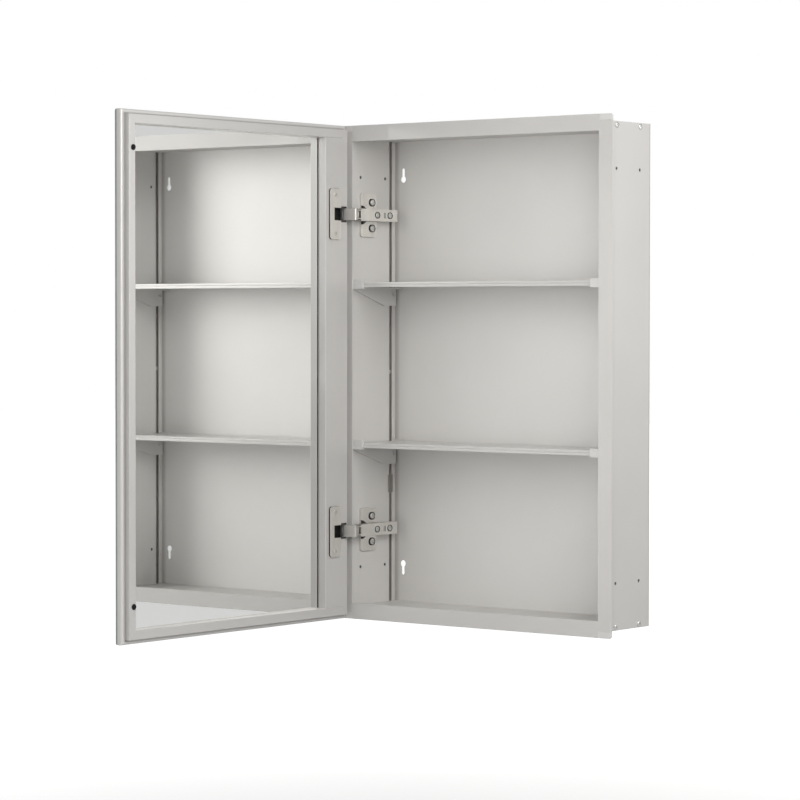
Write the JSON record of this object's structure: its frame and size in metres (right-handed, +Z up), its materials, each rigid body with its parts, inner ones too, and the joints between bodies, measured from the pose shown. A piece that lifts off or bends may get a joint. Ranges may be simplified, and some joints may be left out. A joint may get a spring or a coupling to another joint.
{
  "type": "mirrored medicine cabinet",
  "caption": "Shallow aluminium medicine cabinet with a flanged front, adjustable shelves and a mirrored door on concealed hinges, for recess or surface mounting",
  "frame": {"origin": "middle of the rear face of the back panel, on the wall behind the cabinet", "axes": "+X to the right seen from the front, +Y to the rear into the wall, +Z up; the open door points along -Y"},
  "size_m": [0.4064, 0.4954, 0.61],
  "materials": {
    "satin_aluminium": "satin anodised",
    "white_plastic": "moulded",
    "mirror_glass": "silvered glass, ground edge",
    "black_rubber": "moulded",
    "black_plastic": "moulded",
    "zinc_steel": "zinc plated",
    "nickel_steel": "nickel plated",
    "key_plastic": "moulded"
  },
  "bodies": {
    "cabinet": {"left_side_panel": "satin_aluminium", "right_side_panel": "satin_aluminium", "top_panel": "satin_aluminium", "bottom_panel": "satin_aluminium", "back_panel": "satin_aluminium", "top_left_corner_cap": "white_plastic", "top_right_corner_cap": "white_plastic", "bottom_left_corner_cap": "white_plastic", "bottom_right_corner_cap": "white_plastic", "assembly_screws": "zinc_steel", "back_panel_screws": "zinc_steel", "slot_stop_screws": "zinc_steel", "upper_hinge_plate": "nickel_steel", "lower_hinge_plate": "nickel_steel", "upper_hinge_arm": "nickel_steel", "lower_hinge_arm": "nickel_steel", "hinge_plate_screws": "zinc_steel", "hinge_side_screws": "zinc_steel", "hinge_fixing_screws": "zinc_steel", "outer_arm_pins": "zinc_steel", "inner_arm_pins": "zinc_steel"},
    "upper_shelf": {"upper_shelf": "satin_aluminium", "upper_left_bracket": "white_plastic", "upper_right_bracket": "white_plastic", "upper_bracket_screws": "zinc_steel", "upper_slot_nuts": "zinc_steel"},
    "lower_shelf": {"lower_shelf": "satin_aluminium", "lower_left_bracket": "white_plastic", "lower_right_bracket": "white_plastic", "lower_bracket_screws": "zinc_steel", "lower_slot_nuts": "zinc_steel"},
    "hinge_levers": {"upper_outer_lever": "nickel_steel", "lower_outer_lever": "nickel_steel"},
    "door": {"door_hinge_stile": "satin_aluminium", "door_free_stile": "satin_aluminium", "door_top_rail": "satin_aluminium", "door_bottom_rail": "satin_aluminium", "door_corner_keys": "key_plastic", "inner_mirror": "mirror_glass", "front_mirror": "mirror_glass", "door_bumpers": "black_rubber", "upper_hinge_cup": "black_plastic", "lower_hinge_cup": "black_plastic", "upper_cup_plate": "nickel_steel", "lower_cup_plate": "nickel_steel", "cup_screws": "zinc_steel", "outer_cup_pins": "zinc_steel", "inner_cup_pins": "zinc_steel"},
    "inner_levers": {"upper_inner_lever": "nickel_steel", "lower_inner_lever": "nickel_steel"}
  },
  "joints": [
    {"name": "lever_swing", "type": "hinge", "parent": "cabinet", "child": "hinge_levers", "pos_m": [-0.17371, -0.09792, 0], "axis": [0, 0, 1], "range_deg": [-33.1, 0]},
    {"name": "door_swing", "type": "hinge", "parent": "hinge_levers", "child": "door", "pos_m": [-0.18865, -0.1039, 0], "axis": [0, 0, 1], "range_deg": [0, 122.99]},
    {"name": "inner_lever_swing", "type": "hinge", "parent": "door", "child": "inner_levers", "pos_m": [-0.19085, -0.101, 0], "axis": [0, 0, 1], "range_deg": [-107.4, 0]},
    {"name": "upper_shelf_slide", "type": "slide", "parent": "cabinet", "child": "upper_shelf", "axis": [0, 0, 1], "range_m": [-0.06, 0.045]},
    {"name": "lower_shelf_slide", "type": "slide", "parent": "cabinet", "child": "lower_shelf", "axis": [0, 0, 1], "range_m": [-0.045, 0.06]}
  ],
  "couplings": [
    {"joint": "lever_swing", "follows": "door_swing", "ratio": -0.26826},
    {"joint": "inner_lever_swing", "follows": "door_swing", "ratio": -0.87202}
  ]
}
